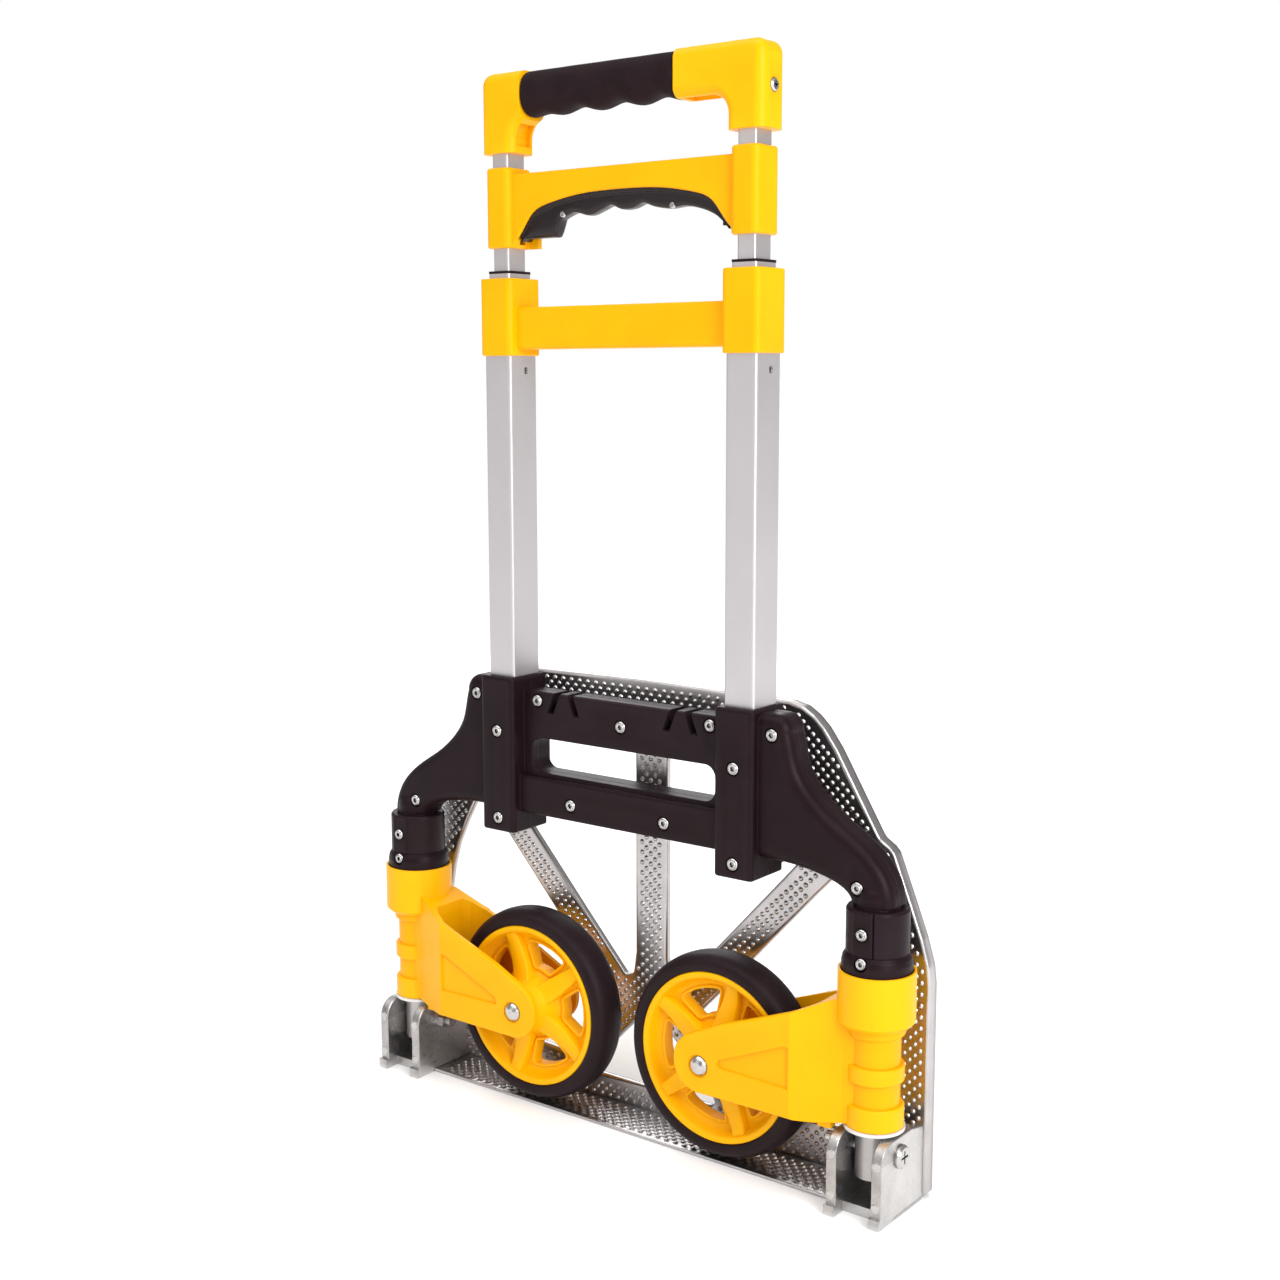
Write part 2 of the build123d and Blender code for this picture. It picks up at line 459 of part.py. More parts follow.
knuckle -= rod_y(WHEEL_X, WHEEL_Z, -40.0, 40.0, 4.04)
knuckle -= rod_y(WHEEL_X, WHEEL_Z, -33.0, FORK_FRONT + 1.0, 8.2)
cam_tab = block(177.5, 187.5, -19.5, -12.5, 56.0, 64.0)
knuckle += cam_tab
parts["knuckle_right"] = knuckle
parts["knuckle_left"] = mirrored(knuckle)

axle_head = turned_y([(0, -34.2), (3.2, -33.8), (5.6, -32.6), (7.0, -31.0), (7.0, -30.5), (0, -30.5)],
                     WHEEL_X, WHEEL_Z)
axle = axle_head + rod_y(WHEEL_X, WHEEL_Z, -30.9, 25.2, 4.0)
axle += turned_y([(0, 23.7), (6.4, 23.7), (6.0, 25.0), (3.6, 25.6), (0, 25.6)], WHEEL_X, WHEEL_Z)
parts["axle_right"] = axle
parts["axle_left"] = mirrored(axle)

washer = rod_z(PIVOT_X, PIVOT_Y, 58.6, 60.75, 20.8) - rod_z(PIVOT_X, PIVOT_Y, 50.0, 70.0, PIVOT_R + 0.08)
parts["thrust_washer_right"] = washer
parts["thrust_washer_left"] = mirrored(washer)

# ---------------------------------------------------------------- wheels
rim = turned_y([(9.0, -25.8), (14.5, -25.8), (16.5, -24.0), (19.5, -14.0), (23.5, -5.0), (23.5, 5.0),
                (17.0, 14.0), (12.5, 18.2), (9.0, 18.2)], WHEEL_X, WHEEL_Z)
rim += turned_y([(52.0, -5.0), (57.0, -13.4), (RIM_R - 1.2, -13.4), (RIM_R, -12.2), (RIM_R, 12.2),
                 (RIM_R - 1.2, 13.4), (57.0, 13.4), (52.0, 5.0)], WHEEL_X, WHEEL_Z)
web = rod_y(WHEEL_X, WHEEL_Z, -5.0, 5.0, 54.0) - rod_y(WHEEL_X, WHEEL_Z, -6.0, 6.0, 15.0)
for k in range(5):
    angle = 54 + 72 * k
    window = Pos(WHEEL_X, 0, WHEEL_Z) * Rot(0, -angle, 0) * prism_xz(
        [(27.0, -8.0), (27.0, 8.0), (48.0, 17.0), (48.0, -17.0)], -8.0, 8.0, 3.0)
    web -= window
    rib = Pos(WHEEL_X, 0, WHEEL_Z) * Rot(0, -(angle + 36), 0) * prism_xz(
        [(14.0, -9.0), (14.0, 9.0), (54.0, 6.5), (54.0, -6.5)], -10.5, 10.5)
    web += rib
rim += web
rim -= rod_y(WHEEL_X, WHEEL_Z, -40.0, 40.0, 8.05)
parts["rim_right"] = rim
parts["rim_left"] = mirrored(rim)
tyre = turned_y([(RIM_R + 0.02, -13.6), (70.5, -TYRE_HALF), (73.2, -12.8), (TYRE_R, -9.0), (TYRE_R, 9.0),
                 (73.2, 12.8), (70.5, TYRE_HALF), (RIM_R + 0.02, 13.6)], WHEEL_X, WHEEL_Z)
parts["tyre_right"] = tyre
parts["tyre_left"] = mirrored(tyre)
hub_bush = rod_y(WHEEL_X, WHEEL_Z, -26.1, 18.4, 8.0) - rod_y(WHEEL_X, WHEEL_Z, -30.0, 30.0, 4.06)
parts["hub_bush_right"] = hub_bush
parts["hub_bush_left"] = mirrored(hub_bush)

# ---------------------------------------------------------------- hinge brackets
cheek = prism_yz([(PLATE_FRONT - 0.05, LIP_T + 0.05), (PLATE_FRONT - 0.05, 53.2), (12.0, WALL_TOP),
                  (-20.0, WALL_TOP), (WALL_FRONT, WALL_TOP), (WALL_FRONT, LIP_T + 0.05)], *WALL_IN)
rounding = block(185, 240, WALL_FRONT - 1, WALL_FRONT + WALL_ROUND, WALL_TOP - WALL_ROUND, WALL_TOP + 1)
rounding -= rod_x(WALL_FRONT + WALL_ROUND, WALL_TOP - WALL_ROUND, 180, 245, WALL_ROUND)
cheek -= rounding
cheek = round_face(cheek, Axis.X, 0, 1.2)
cheek = round_face(cheek, Axis.X, -1, 1.2)
bracket = cheek + Pos(WALL_OUT[0] - WALL_IN[0], 0, 0) * cheek
bracket &= block(185, WALL_OUT[1], -60, 60, -5, 80)
bracket += block(WALL_IN[0], WALL_OUT[1], 25.4, PLATE_FRONT - 0.05, LIP_T + 0.05, 50.0)
bracket += block(WALL_IN[0], WALL_OUT[1], -18.0, PLATE_FRONT - 0.05, LIP_T + 0.05, 7.0)
bracket += block(WALL_IN[0], WALL_OUT[1], -18.0, LIP_FRONT - 0.05, 0.0, 7.0)
for x0, x1 in (WALL_IN, WALL_OUT):
    bracket += block(x0, x1, -31.0, LIP_FRONT - 0.05, 0.0, 7.5)
    for z_mark in (14.0, 43.0):
        bracket += rod_y((x0 + x1) / 2, z_mark, WALL_FRONT - 0.5, WALL_FRONT + 1, 3.3)
bracket -= rod_x(HINGE_Y, HINGE_Z, 180, 240, 4.02)
parts["hinge_bracket_right"] = bracket
parts["hinge_bracket_left"] = mirrored(bracket)

bolt = screw_x(HINGE_Y, HINGE_Z, WALL_OUT[1] + 0.05, 8.2, 3.4, 176.5, 4.0)
parts["hinge_bolts"] = group([bolt, mirrored(bolt)])
nut = Pos(182.0, HINGE_Y, HINGE_Z) * Rot(0, 90, 0) * extrude(RegularPolygon(7.2, 6), 4.8)
nut -= rod_x(HINGE_Y, HINGE_Z, 170, 200, 4.02)
spring_washer = rod_x(HINGE_Y, HINGE_Z, 186.9, 189.9, 6.6) - rod_x(HINGE_Y, HINGE_Z, 170, 200, 4.1)
parts["hinge_nuts"] = group([nut, mirrored(nut)])
parts["hinge_spring_washers"] = group([spring_washer, mirrored(spring_washer)])

# ---------------------------------------------------------------- toe plate
plate_half = [(0.0, 0.0), (231.0, 0.0), (235.0, 4.0), (235.0, 152.0), (233.5, 165.0), (228.0, 183.0),
              (219.0, 206.0), (205.5, 239.0), (202.0, 242.5), (194.0, 247.5), (169.5, 288.0), (159.5, 304.5),
              (149.0, 318.5), (141.0, 326.0), (132.0, 331.5), (120.0, 334.3), (0.0, 336.0)]
plate_outline = plate_half + [(-x, z) for x, z in reversed(plate_half[1:-1])]
upper_window = [(14.5, 108.0), (27.0, 108.6), (63.6, 148.6), (118.0, 208.0), (134.0, 226.0), (128.0, 262.0),
                (100.0, 300.0), (14.5, 300.0)]
side_window = [(83.0, 31.0), (208.0, 36.0), (208.0, 100.0), (207.0, 139.0), (203.0, 161.0), (196.6, 181.5),
               (187.0, 201.5), (172.0, 228.0), (143.9, 198.9), (97.0, 147.6), (62.0, 109.0), (42.0, 88.0),
               (40.0, 74.0)]
low_window = [(-63.0, 21.0), (63.0, 21.0), (24.7, 61.0), (6.0, 79.0), (-6.0, 79.0), (-24.7, 61.0)]


def plate_cut(points, y0, y1, grow):
    """Window prism, grown outwards by grow for the flange that surrounds it."""
    face = make_face(Polyline(*points, close=True))
    face = fillet(face.vertices(), 4.0)
    if grow:
        face = offset(face, grow)
    plane = Plane(origin=(0, y1, 0), x_dir=(1, 0, 0), z_dir=(0, -1, 0))
    return extrude(plane * face, y1 - y0)


windows = [upper_window, [(-x, z) for x, z in reversed(upper_window)], side_window,
           [(-x, z) for x, z in reversed(side_window)], low_window]
plate = prism_xz(plate_outline, PLATE_FRONT, PLATE_RIM)
pan_half = [(0.0, -3.0), (233.2, -3.0), (233.2, 151.8), (231.7, 164.6), (226.3, 182.4), (217.3, 205.3),
            (203.9, 237.8), (200.8, 240.9), (192.8, 246.0), (168.0, 287.1), (158.1, 303.4), (147.7, 317.2),
            (140.0, 324.4), (131.3, 329.8), (119.7, 332.5), (0.0, 334.2)]
pan = prism_xz(pan_half + [(-x, z) for x, z in reversed(pan_half[1:-1])],
               PLATE_FRONT + PLATE_T, PLATE_RIM + 1)
plate -= pan
plate += prism_xz([(-215, 0.0), (215, 0.0), (215, 3.0), (-215, 3.0)], PLATE_FRONT, PLATE_FRONT + PLATE_T)
for points in windows:
    plate += plate_cut(points, PLATE_FRONT, PLATE_FRONT + 5.0, 1.6)
for points in windows:
    plate -= plate_cut(points, PLATE_FRONT - 5.0, PLATE_RIM + 5.0, 0.0)
lip = block(-WALL_OUT[1], WALL_OUT[1], LIP_FRONT, PLATE_FRONT - 0.05, 0.0, LIP_T)
parts["toe_plate"] = plate
parts["toe_lip"] = lip

rivets = []
for x_rivet, z_rivet in ((217.0, 18.0), (217.0, 42.0)):
    rivet = rod_y(x_rivet, z_rivet, 24.0, 35.0, 2.5)
    rivet += turned_y([(0, 31.05), (4.5, 31.05), (4.2, 32.4), (0, 33.4)], x_rivet, z_rivet)
    rivets.append(rivet)
    rivets.append(mirrored(rivet))
rivet_holes = None
for x_rivet, z_rivet in ((217.0, 18.0), (217.0, 42.0)):
    for side in (-1, 1):
        hole = rod_y(side * x_rivet, z_rivet, 20.0, 45.0, 2.52)
        rivet_holes = hole if rivet_holes is None else rivet_holes + hole
parts["toe_plate"] = parts["toe_plate"] - rivet_holes
parts["hinge_bracket_right"] = parts["hinge_bracket_right"] - rivet_holes
parts["hinge_bracket_left"] = parts["hinge_bracket_left"] - rivet_holes
parts["plate_rivets"] = group(rivets)

# ---------------------------------------------------------------- export
os.makedirs("parts", exist_ok=True)
for name, shape in parts.items():
    export_step(Pos(0, Y_SHIFT, 0) * shape, "parts/" + name + ".step")
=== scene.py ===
"""Looks of the folding hand truck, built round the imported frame. Shapes are given in millimetres."""
import math

import bpy
import numpy as np
from mathutils import Euler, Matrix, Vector
from mathutils.geometry import delaunay_2d_cdt


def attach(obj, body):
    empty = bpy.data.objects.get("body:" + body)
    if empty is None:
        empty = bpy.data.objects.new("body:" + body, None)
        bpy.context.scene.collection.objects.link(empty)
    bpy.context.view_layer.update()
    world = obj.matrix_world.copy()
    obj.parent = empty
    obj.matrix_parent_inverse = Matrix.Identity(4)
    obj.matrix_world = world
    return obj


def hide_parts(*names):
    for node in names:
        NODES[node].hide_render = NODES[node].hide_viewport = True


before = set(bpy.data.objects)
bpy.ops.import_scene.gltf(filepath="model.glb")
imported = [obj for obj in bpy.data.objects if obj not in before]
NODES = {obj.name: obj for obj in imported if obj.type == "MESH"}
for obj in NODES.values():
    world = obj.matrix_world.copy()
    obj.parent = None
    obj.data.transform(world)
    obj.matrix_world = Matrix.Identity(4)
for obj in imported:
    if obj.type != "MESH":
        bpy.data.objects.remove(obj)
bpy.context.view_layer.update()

MM = 0.001
Y_SHIFT = -2.4        # mm, from the drawing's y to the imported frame's y
SCENE = bpy.context.scene


# ---------------------------------------------------------------- mesh helpers
def point(x, y, z):
    """Point of the drawing, in mm, as a point of the frame, in metres."""
    return Vector((x, y + Y_SHIFT, z)) * MM


def piece(name, verts, faces, material, body, slot, sharp=32.0, replaces=()):
    """Mesh piece from millimetre points, smooth shaded with sharp edges above an angle."""
    mesh = bpy.data.meshes.new(name)
    mesh.from_pydata([point(*v) for v in verts], [], faces)
    mesh.validate()
    mesh.update()
    obj = bpy.data.objects.new(name, mesh)
    SCENE.collection.objects.link(obj)
    mesh.materials.append(material)
    mesh.shade_smooth()
    mesh.set_sharp_from_angle(angle=math.radians(sharp))
    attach(obj, body)
    if replaces:
        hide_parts(*replaces)
    return obj


def joined(parts):
    """Several (verts, faces) lists as one."""
    verts, faces = [], []
    for part_verts, part_faces in parts:
        start = len(verts)
        verts.extend(part_verts)
        faces.extend([tuple(i + start for i in face) for face in part_faces])
    return verts, faces


def rounded(points, radius, steps=6):
    """Closed outline with its corners rounded; radius may be one number or one per corner."""
    out = []
    count = len(points)
    for i, here in enumerate(points):
        r = radius[i] if isinstance(radius, (list, tuple)) else radius
        before = Vector(points[i - 1]) - Vector(here)
        after = Vector(points[(i + 1) % count]) - Vector(here)
        corner = before.angle(after)
        if r <= 0 or corner > math.radians(176):
            out.append(tuple(here))
            continue
        cut = min(r / math.tan(corner / 2), before.length * 0.48, after.length * 0.48)
        start = Vector(here) + before.normalized() * cut
        end = Vector(here) + after.normalized() * cut
        for k in range(steps + 1):
            t = k / steps
            spot = start * (1 - t) ** 2 + Vector(here) * 2 * t * (1 - t) + end * t * t
            out.append(tuple(spot))
    return out


def resampled(loop, step):
    """Closed outline with long runs divided."""
    out = []
    for i, here in enumerate(loop):
        a, b = Vector(here), Vector(loop[(i + 1) % len(loop)])
        parts = max(1, round((b - a).length / step))
        out.extend([tuple(a.lerp(b, k / parts)) for k in range(parts)])
    return out


def area(loop):
    """Signed area of a closed outline, positive when it runs anticlockwise."""
    return sum(a[0] * b[1] - b[0] * a[1] for a, b in zip(loop, loop[1:] + loop[:1])) / 2


def offset(loop, distance):
    """Outline moved outwards by distance, corner by corner."""
    sign = 1 if area(loop) > 0 else -1
    out = []
    count = len(loop)
    for i, here in enumerate(loop):
        a = (Vector(here) - Vector(loop[i - 1])).normalized()
        b = (Vector(loop[(i + 1) % count]) - Vector(here)).normalized()
        n1, n2 = Vector((a.y, -a.x)), Vector((b.y, -b.x))
        n = (n1 + n2).normalized()
        reach = distance * sign / max(0.5, n.dot(n1))
        out.append((here[0] + n.x * reach, here[1] + n.y * reach))
    return out


def inside(loop, spots):
    """True for each (n, 2) spot inside the closed outline."""
    result = np.zeros(len(spots), bool)
    x, z = spots[:, 0], spots[:, 1]
    for (x0, z0), (x1, z1) in zip(loop, loop[1:] + loop[:1]):
        if z0 != z1:
            crosses = (z0 > z) != (z1 > z)
            result ^= crosses & (x < (x1 - x0) * (z - z0) / (z1 - z0) + x0)
    return result


def far_from(loop, spots):
    """Distance from each spot to the closed outline."""
    best = np.full(len(spots), 1e9)
    for a, b in zip(loop, loop[1:] + loop[:1]):
        a, b = np.array(a), np.array(b)
        run = b - a
        t = np.clip(((spots - a) @ run) / max(run @ run, 1e-9), 0, 1)
        best = np.minimum(best, np.linalg.norm(spots - a - t[:, None] * run, axis=1))
    return best


def band(loop, profile):
    """Closed strip swept round an outline in X-Z; profile is (outward offset, y)."""
    rings = [offset(loop, o) if o else list(loop) for o, _ in profile]
    count = len(loop)
    verts = [(x, y, z) for ring, (_, y) in zip(rings, profile) for x, z in ring]
    faces = []
    for k in range(len(profile)):
        base, top = k * count, ((k + 1) % len(profile)) * count
        for i in range(count):
            j = (i + 1) % count
            faces.append((base + i, base + j, top + j, top + i))
    if area(loop) > 0:
        faces = [face[::-1] for face in faces]
    return verts, faces


def sheet(outer, holes, spots, front, back):
    """Plate between y = front(x, z) and y = back(x, z), cut to its outline and holes, with extra points."""
    loops = [outer] + holes
    coords, edges = [], []
    for loop in loops:
        start = len(coords)
        coords.extend([Vector(p) for p in loop])
        edges.extend([(start + i, start + (i + 1) % len(loop)) for i in range(len(loop))])
    coords.extend([Vector(p) for p in spots])
    made = delaunay_2d_cdt(coords, edges, [], 0, 1e-4)
    flat = np.array([(v.x, v.y) for v in made[0]])
    tris = np.array([f for f in made[2] if len(f) == 3])
    middle = flat[tris].mean(axis=1)
    keep = inside(outer, middle)
    for hole in holes:
        keep &= ~inside(hole, middle)
    tris = tris[keep]
    heights_front = front(flat[:, 0], flat[:, 1])
    heights_back = back(flat[:, 0], flat[:, 1])
    count = len(flat)
    verts = [(x, y, z) for (x, z), y in zip(flat, heights_front)]
    verts += [(x, y, z) for (x, z), y in zip(flat, heights_back)]
    faces = [tuple(int(i) for i in t) for t in tris]
    directed = {}
    for a, b, c in faces:
        for e in ((a, b), (b, c), (c, a)):
            directed[e] = True
    walls = [(b, a, a + count, b + count) for a, b in directed if (b, a) not in directed]
    faces += [(c + count, b + count, a + count) for a, b, c in faces] + walls
    return verts, faces


def lathe_y(profile, x, z, segments=128):
    """Closed profile of (radius, y) turned round the line through (x, z) along Y."""
    verts, faces = [], []
    count = len(profile)
    for k in range(segments):
        angle = 2 * math.pi * k / segments
        c, s = math.cos(angle), math.sin(angle)
        verts.extend([(x + r * c, y, z + r * s) for r, y in profile])
    for k in range(segments):
        base, following = k * count, ((k + 1) % segments) * count
        for i in range(count):
            j = (i + 1) % count
            faces.append((base + i, base + j, following + j, following + i))
    return verts, faces


def smooth_line(points, steps):
    """Catmull-Rom line through points, with steps divisions for each run."""
    out = []
    pts = [Vector(p) for p in points]
    for i in range(len(pts) - 1):
        p0, p1, p2 = pts[max(i - 1, 0)], pts[i], pts[i + 1]
        p3 = pts[min(i + 2, len(pts) - 1)]
        for k in range(steps):
            t = k / steps
            out.append(tuple(0.5 * (2 * p1 + (p2 - p0) * t + (2 * p0 - 5 * p1 + 4 * p2 - p3) * t * t
                                    + (3 * p1 - p0 - 3 * p2 + p3) * t ** 3)))
    out.append(tuple(pts[-1]))
    return out


def loft(rings):
    """Capped skin over rings with equal point counts."""
    count = len(rings[0])
    verts = [p for ring in rings for p in ring]
    faces = []
    for k in range(len(rings) - 1):
        for i in range(count):
            j = (i + 1) % count
            faces.append((k * count + i, k * count + j, (k + 1) * count + j, (k + 1) * count + i))
    faces.append(tuple(reversed(range(count))))
    faces.append(tuple(range((len(rings) - 1) * count, len(rings) * count)))
    return verts, faces


# ---------------------------------------------------------------- materials
STREAK_SCALE = (2500.0, 2500.0, 12.0)    # brushed lines: fine across, long up the tube


def finish_material(name, colour, roughness, metallic=0.0, vary=0.12, vary_scale=40.0, grain=900.0,
                    grain_depth=0.02, rough_spread=0.08, edge=0.0, edge_colour=(1.0, 1.0, 1.0),
                    round_edges=0.0, specular=0.5, dirt=0.0, streak=0.0, painted_shade_reach=0.0):
    """Procedural finish: blotchy colour, grain in bump and roughness, rounded edges, wear and painted
    highlight on sharp edges, painted shade in sockets.

    vary is the spread of the blotches and vary_scale their fineness; grain is the fineness of the
    surface grain and grain_depth its depth in mm. edge lightens sharp edges towards edge_colour, which
    is worn bare metal on the cast aluminium and a painted highlight on the plastics, and round_edges is
    their radius in mm. dirt adds dull spots, streak is the depth in mm of a brushed grain along Z, and
    the last argument is the reach in mm of a painted shade that darkens sockets and gaps nearly to black.
    """
    mat = bpy.data.materials.new(name)
    mat.use_nodes = True
    tree = mat.node_tree
    nodes, links = tree.nodes, tree.links
    shader = nodes["Principled BSDF"]
    shader.inputs["Metallic"].default_value = metallic
    shader.inputs["Specular IOR Level"].default_value = specular
    where = nodes.new("ShaderNodeTexCoord").outputs["Object"]

    def noise(scale, detail=4.0):
        node = nodes.new("ShaderNodeTexNoise")
        node.inputs["Scale"].default_value = scale
        node.inputs["Detail"].default_value = detail
        links.new(where, node.inputs["Vector"])
        return node.outputs["Fac"]

    def mapped(source, low, high, out_low, out_high):
        node = nodes.new("ShaderNodeMapRange")
        node.inputs["From Min"].default_value = low
        node.inputs["From Max"].default_value = high
        node.inputs["To Min"].default_value = out_low
        node.inputs["To Max"].default_value = out_high
        links.new(source, node.inputs["Value"])
        return node.outputs["Result"]

    def mixed(factor, a, b):
        node = nodes.new("ShaderNodeMix")
        node.data_type = "RGBA"
        links.new(factor, node.inputs["Factor"])
        for socket, value in ((node.inputs["A"], a), (node.inputs["B"], b)):
            if isinstance(value, tuple):
                socket.default_value = value
            else:
                links.new(value, socket)
        return node.outputs["Result"]

    dark = tuple(c * (1 - vary) for c in colour) + (1.0,)
    light = tuple(min(1.0, c * (1 + vary * 0.6)) for c in colour) + (1.0,)
    tone = mixed(mapped(noise(vary_scale), 0.3, 0.7, 0.0, 1.0), dark, light)
    if dirt:
        dull = tuple(c * 0.55 for c in colour) + (1.0,)
        tone = mixed(mapped(noise(vary_scale * 6, 6.0), 0.56, 0.75, 0.0, dirt), tone, dull)
    # sharp edges lightened towards edge_colour: a painted highlight on the yellow and black plastics, worn
    # bare metal on the cast aluminium
    if edge:
        geometry = nodes.new("ShaderNodeNewGeometry")
        edge_wear_and_highlight = mapped(geometry.outputs["Pointiness"], 0.52, 0.62, 0.0, edge)
        tone = mixed(edge_wear_and_highlight, tone, edge_colour + (1.0,))
    # painted shade: an ambient-occlusion node darkens the base colour nearly to black in sockets and gaps
    # within the given reach
    if painted_shade_reach:
        sheltered = nodes.new("ShaderNodeAmbientOcclusion")
        sheltered.samples = 8
        sheltered.inputs["Distance"].default_value = painted_shade_reach * MM
        painted_shade_mask = mapped(sheltered.outputs["AO"], 0.35, 0.8, 1.0, 0.0)
        tone = mixed(painted_shade_mask, tone, tuple(c * 0.04 for c in colour) + (1.0,))
    links.new(tone, shader.inputs["Base Color"])
    fine = noise(grain, 3.0)
    links.new(mapped(fine, 0.25, 0.75, max(0.02, roughness - rough_spread),
                     min(1.0, roughness + rough_spread)), shader.inputs["Roughness"])
    bump = nodes.new("ShaderNodeBump")
    bump.inputs["Strength"].default_value = 1.0
    bump.inputs["Distance"].default_value = grain_depth * MM
    links.new(fine, bump.inputs["Height"])
    if streak:
        lines = nodes.new("ShaderNodeTexNoise")
        lines.inputs["Scale"].default_value = 1.0
        drawn_out = nodes.new("ShaderNodeMapping")
        drawn_out.inputs["Scale"].default_value = STREAK_SCALE
        links.new(where, drawn_out.inputs["Vector"])
        links.new(drawn_out.outputs["Vector"], lines.inputs["Vector"])
        brushed = nodes.new("ShaderNodeBump")
        brushed.inputs["Strength"].default_value = 1.0
        brushed.inputs["Distance"].default_value = streak * MM
        links.new(lines.outputs["Fac"], brushed.inputs["Height"])
        links.new(brushed.outputs["Normal"], bump.inputs["Normal"])
        normal_input = brushed.inputs["Normal"]
    else:
        normal_input = bump.inputs["Normal"]
    if round_edges:
        rounding = nodes.new("ShaderNodeBevel")
        rounding.samples = 6
        rounding.inputs["Radius"].default_value = round_edges * MM
        links.new(rounding.outputs["Normal"], normal_input)
    links.new(bump.outputs["Normal"], shader.inputs["Normal"])
    return mat


# the lighter edge colour of the yellow and black plastics is a painted highlight on their sharp edges
YELLOW = finish_material("yellow plastic", (0.94, 0.43, 0.0), 0.36, vary=0.06, vary_scale=25.0,
                         grain=1600.0, grain_depth=0.010, round_edges=0.7, edge=0.3,
                         edge_colour=(1.0, 0.58, 0.01), specular=0.12)
YELLOW_RIM = finish_material("yellow rim plastic", (0.94, 0.46, 0.0), 0.40, vary=0.07, vary_scale=30.0,
                             grain=1500.0, grain_depth=0.012, edge=0.25, edge_colour=(1.0, 0.60, 0.01),
                             specular=0.14)
BLACK = finish_material("black housing plastic", (0.0125, 0.0052, 0.0072), 0.40, vary=0.2, vary_scale=60.0,
                        grain=2200.0, grain_depth=0.035, round_edges=1.6, edge=0.3,
                        edge_colour=(0.030, 0.020, 0.023), specular=0.11)
LEVER = finish_material("black lever plastic", (0.0110, 0.0055, 0.0070), 0.30, vary=0.2, vary_scale=70.0,
                        grain=1500.0, grain_depth=0.015, round_edges=0.8, specular=0.35)
TUBE = finish_material("anodised tube", (0.60, 0.575, 0.585), 0.40, metallic=0.85, vary=0.03,
                       vary_scale=20.0, grain=3000.0, grain_depth=0.004, streak=0.004, rough_spread=0.05)
PLATE = finish_material("pressed plate", (0.52, 0.50, 0.50), 0.32, metallic=1.0, vary=0.08,
                        vary_scale=60.0, grain=1200.0, grain_depth=0.008, rough_spread=0.08, dirt=0.12)
CAST = finish_material("cast aluminium", (0.44, 0.43, 0.425), 0.38, metallic=1.0, vary=0.18,
                       vary_scale=90.0, grain=420.0, grain_depth=0.12, rough_spread=0.14, dirt=0.45,
                       round_edges=0.8, edge=0.5, edge_colour=(0.85, 0.84, 0.83))
# bright steel: its sockets and the gaps under its heads get painted shade, darkened nearly to black within
# 2.5 mm
BRIGHT = finish_material("bright steel", (0.56, 0.55, 0.54), 0.26, metallic=1.0, vary=0.08,
                         vary_scale=200.0, grain=2500.0, grain_depth=0.003, rough_spread=0.05,
                         round_edges=0.3, painted_shade_reach=2.5)
STEEL = finish_material("plated steel", (0.45, 0.44, 0.44), 0.3, metallic=1.0, vary=0.1,
                        vary_scale=150.0, grain=1500.0, grain_depth=0.006, round_edges=0.3)
NYLON = finish_material("natural nylon", (0.72, 0.71, 0.69), 0.4, vary=0.05, vary_scale=80.0,
                        grain=1500.0, grain_depth=0.01, round_edges=0.3)
RUBBER = finish_material("tyre rubber", (0.0150, 0.0070, 0.0090), 0.50, vary=0.25, vary_scale=45.0,
                         grain=1400.0, grain_depth=0.03, rough_spread=0.1, dirt=0.3, specular=0.13)
FOAM = finish_material("grip foam", (0.015, 0.0070, 0.0090), 0.72, vary=0.2, vary_scale=90.0, grain=2200.0,
                       grain_depth=0.05, rough_spread=0.1, specular=0.12)
GREY_TUBE = finish_material("pivot tube", (0.42, 0.41, 0.41), 0.34, metallic=1.0, vary=0.1,
                            vary_scale=60.0, grain=2000.0, grain_depth=0.006, rough_spread=0.08)

BY_NODE = {
    TUBE: ["outer_tube_left", "outer_tube_right", "mid_tube_left", "mid_tube_right",
           "inner_tube_left", "inner_tube_right"],
    GREY_TUBE: ["pivot_tube_left", "pivot_tube_right"],
    YELLOW: ["collar_bar", "mid_bar", "handle_elbow_left", "handle_elbow_right", "knuckle_left",
             "knuckle_right"],
    YELLOW_RIM: ["rim_left", "rim_right"],
    BLACK: ["housing_front", "housing_rear", "clamp_left", "clamp_right", "collar_bush_left",
            "collar_bush_right", "mid_tube_seals", "mid_glides", "inner_glides", "hub_bush_left",
            "hub_bush_right"],
    LEVER: ["release_lever"],
    FOAM: ["grip"],
    PLATE: ["toe_plate", "toe_lip"],
    CAST: ["hinge_bracket_left", "hinge_bracket_right"],
    BRIGHT: ["housing_screws", "clamp_screws", "elbow_screws", "axle_left", "axle_right",
             "hinge_bolts", "plate_rivets"],
    STEEL: ["hinge_nuts", "hinge_spring_washers", "mid_lock_pins", "inner_lock_pins",
            "release_rods", "lever_springs", "cup_springs", "grip_core"],
    NYLON: ["thrust_washer_left", "thrust_washer_right"],
    RUBBER: ["tyre_left", "tyre_right"],
}
for material, names in BY_NODE.items():
    for name in names:
        if name in NODES:
            NODES[name].data.materials.clear()
            NODES[name].data.materials.append(material)

# ---------------------------------------------------------------- toe plate
FRONT = 29.0          # y of the load face
SHEET_T = 1.8         # sheet thickness
RIM_BACK = 39.0       # y of the turned rim's edge
EDGE = 2.4            # width of the rounded margin along every edge
DOME_R = 2.0
DOME_H = 1.5
PITCH_X = 8.0         # domes stand in staggered rows
PITCH_Z = 4.0
FIRST_ROW_Z = 5.1
DOME_ROWS = 84
DOME_FROM_OUTLINE = 2.6
DOME_FROM_WINDOW = 2.0
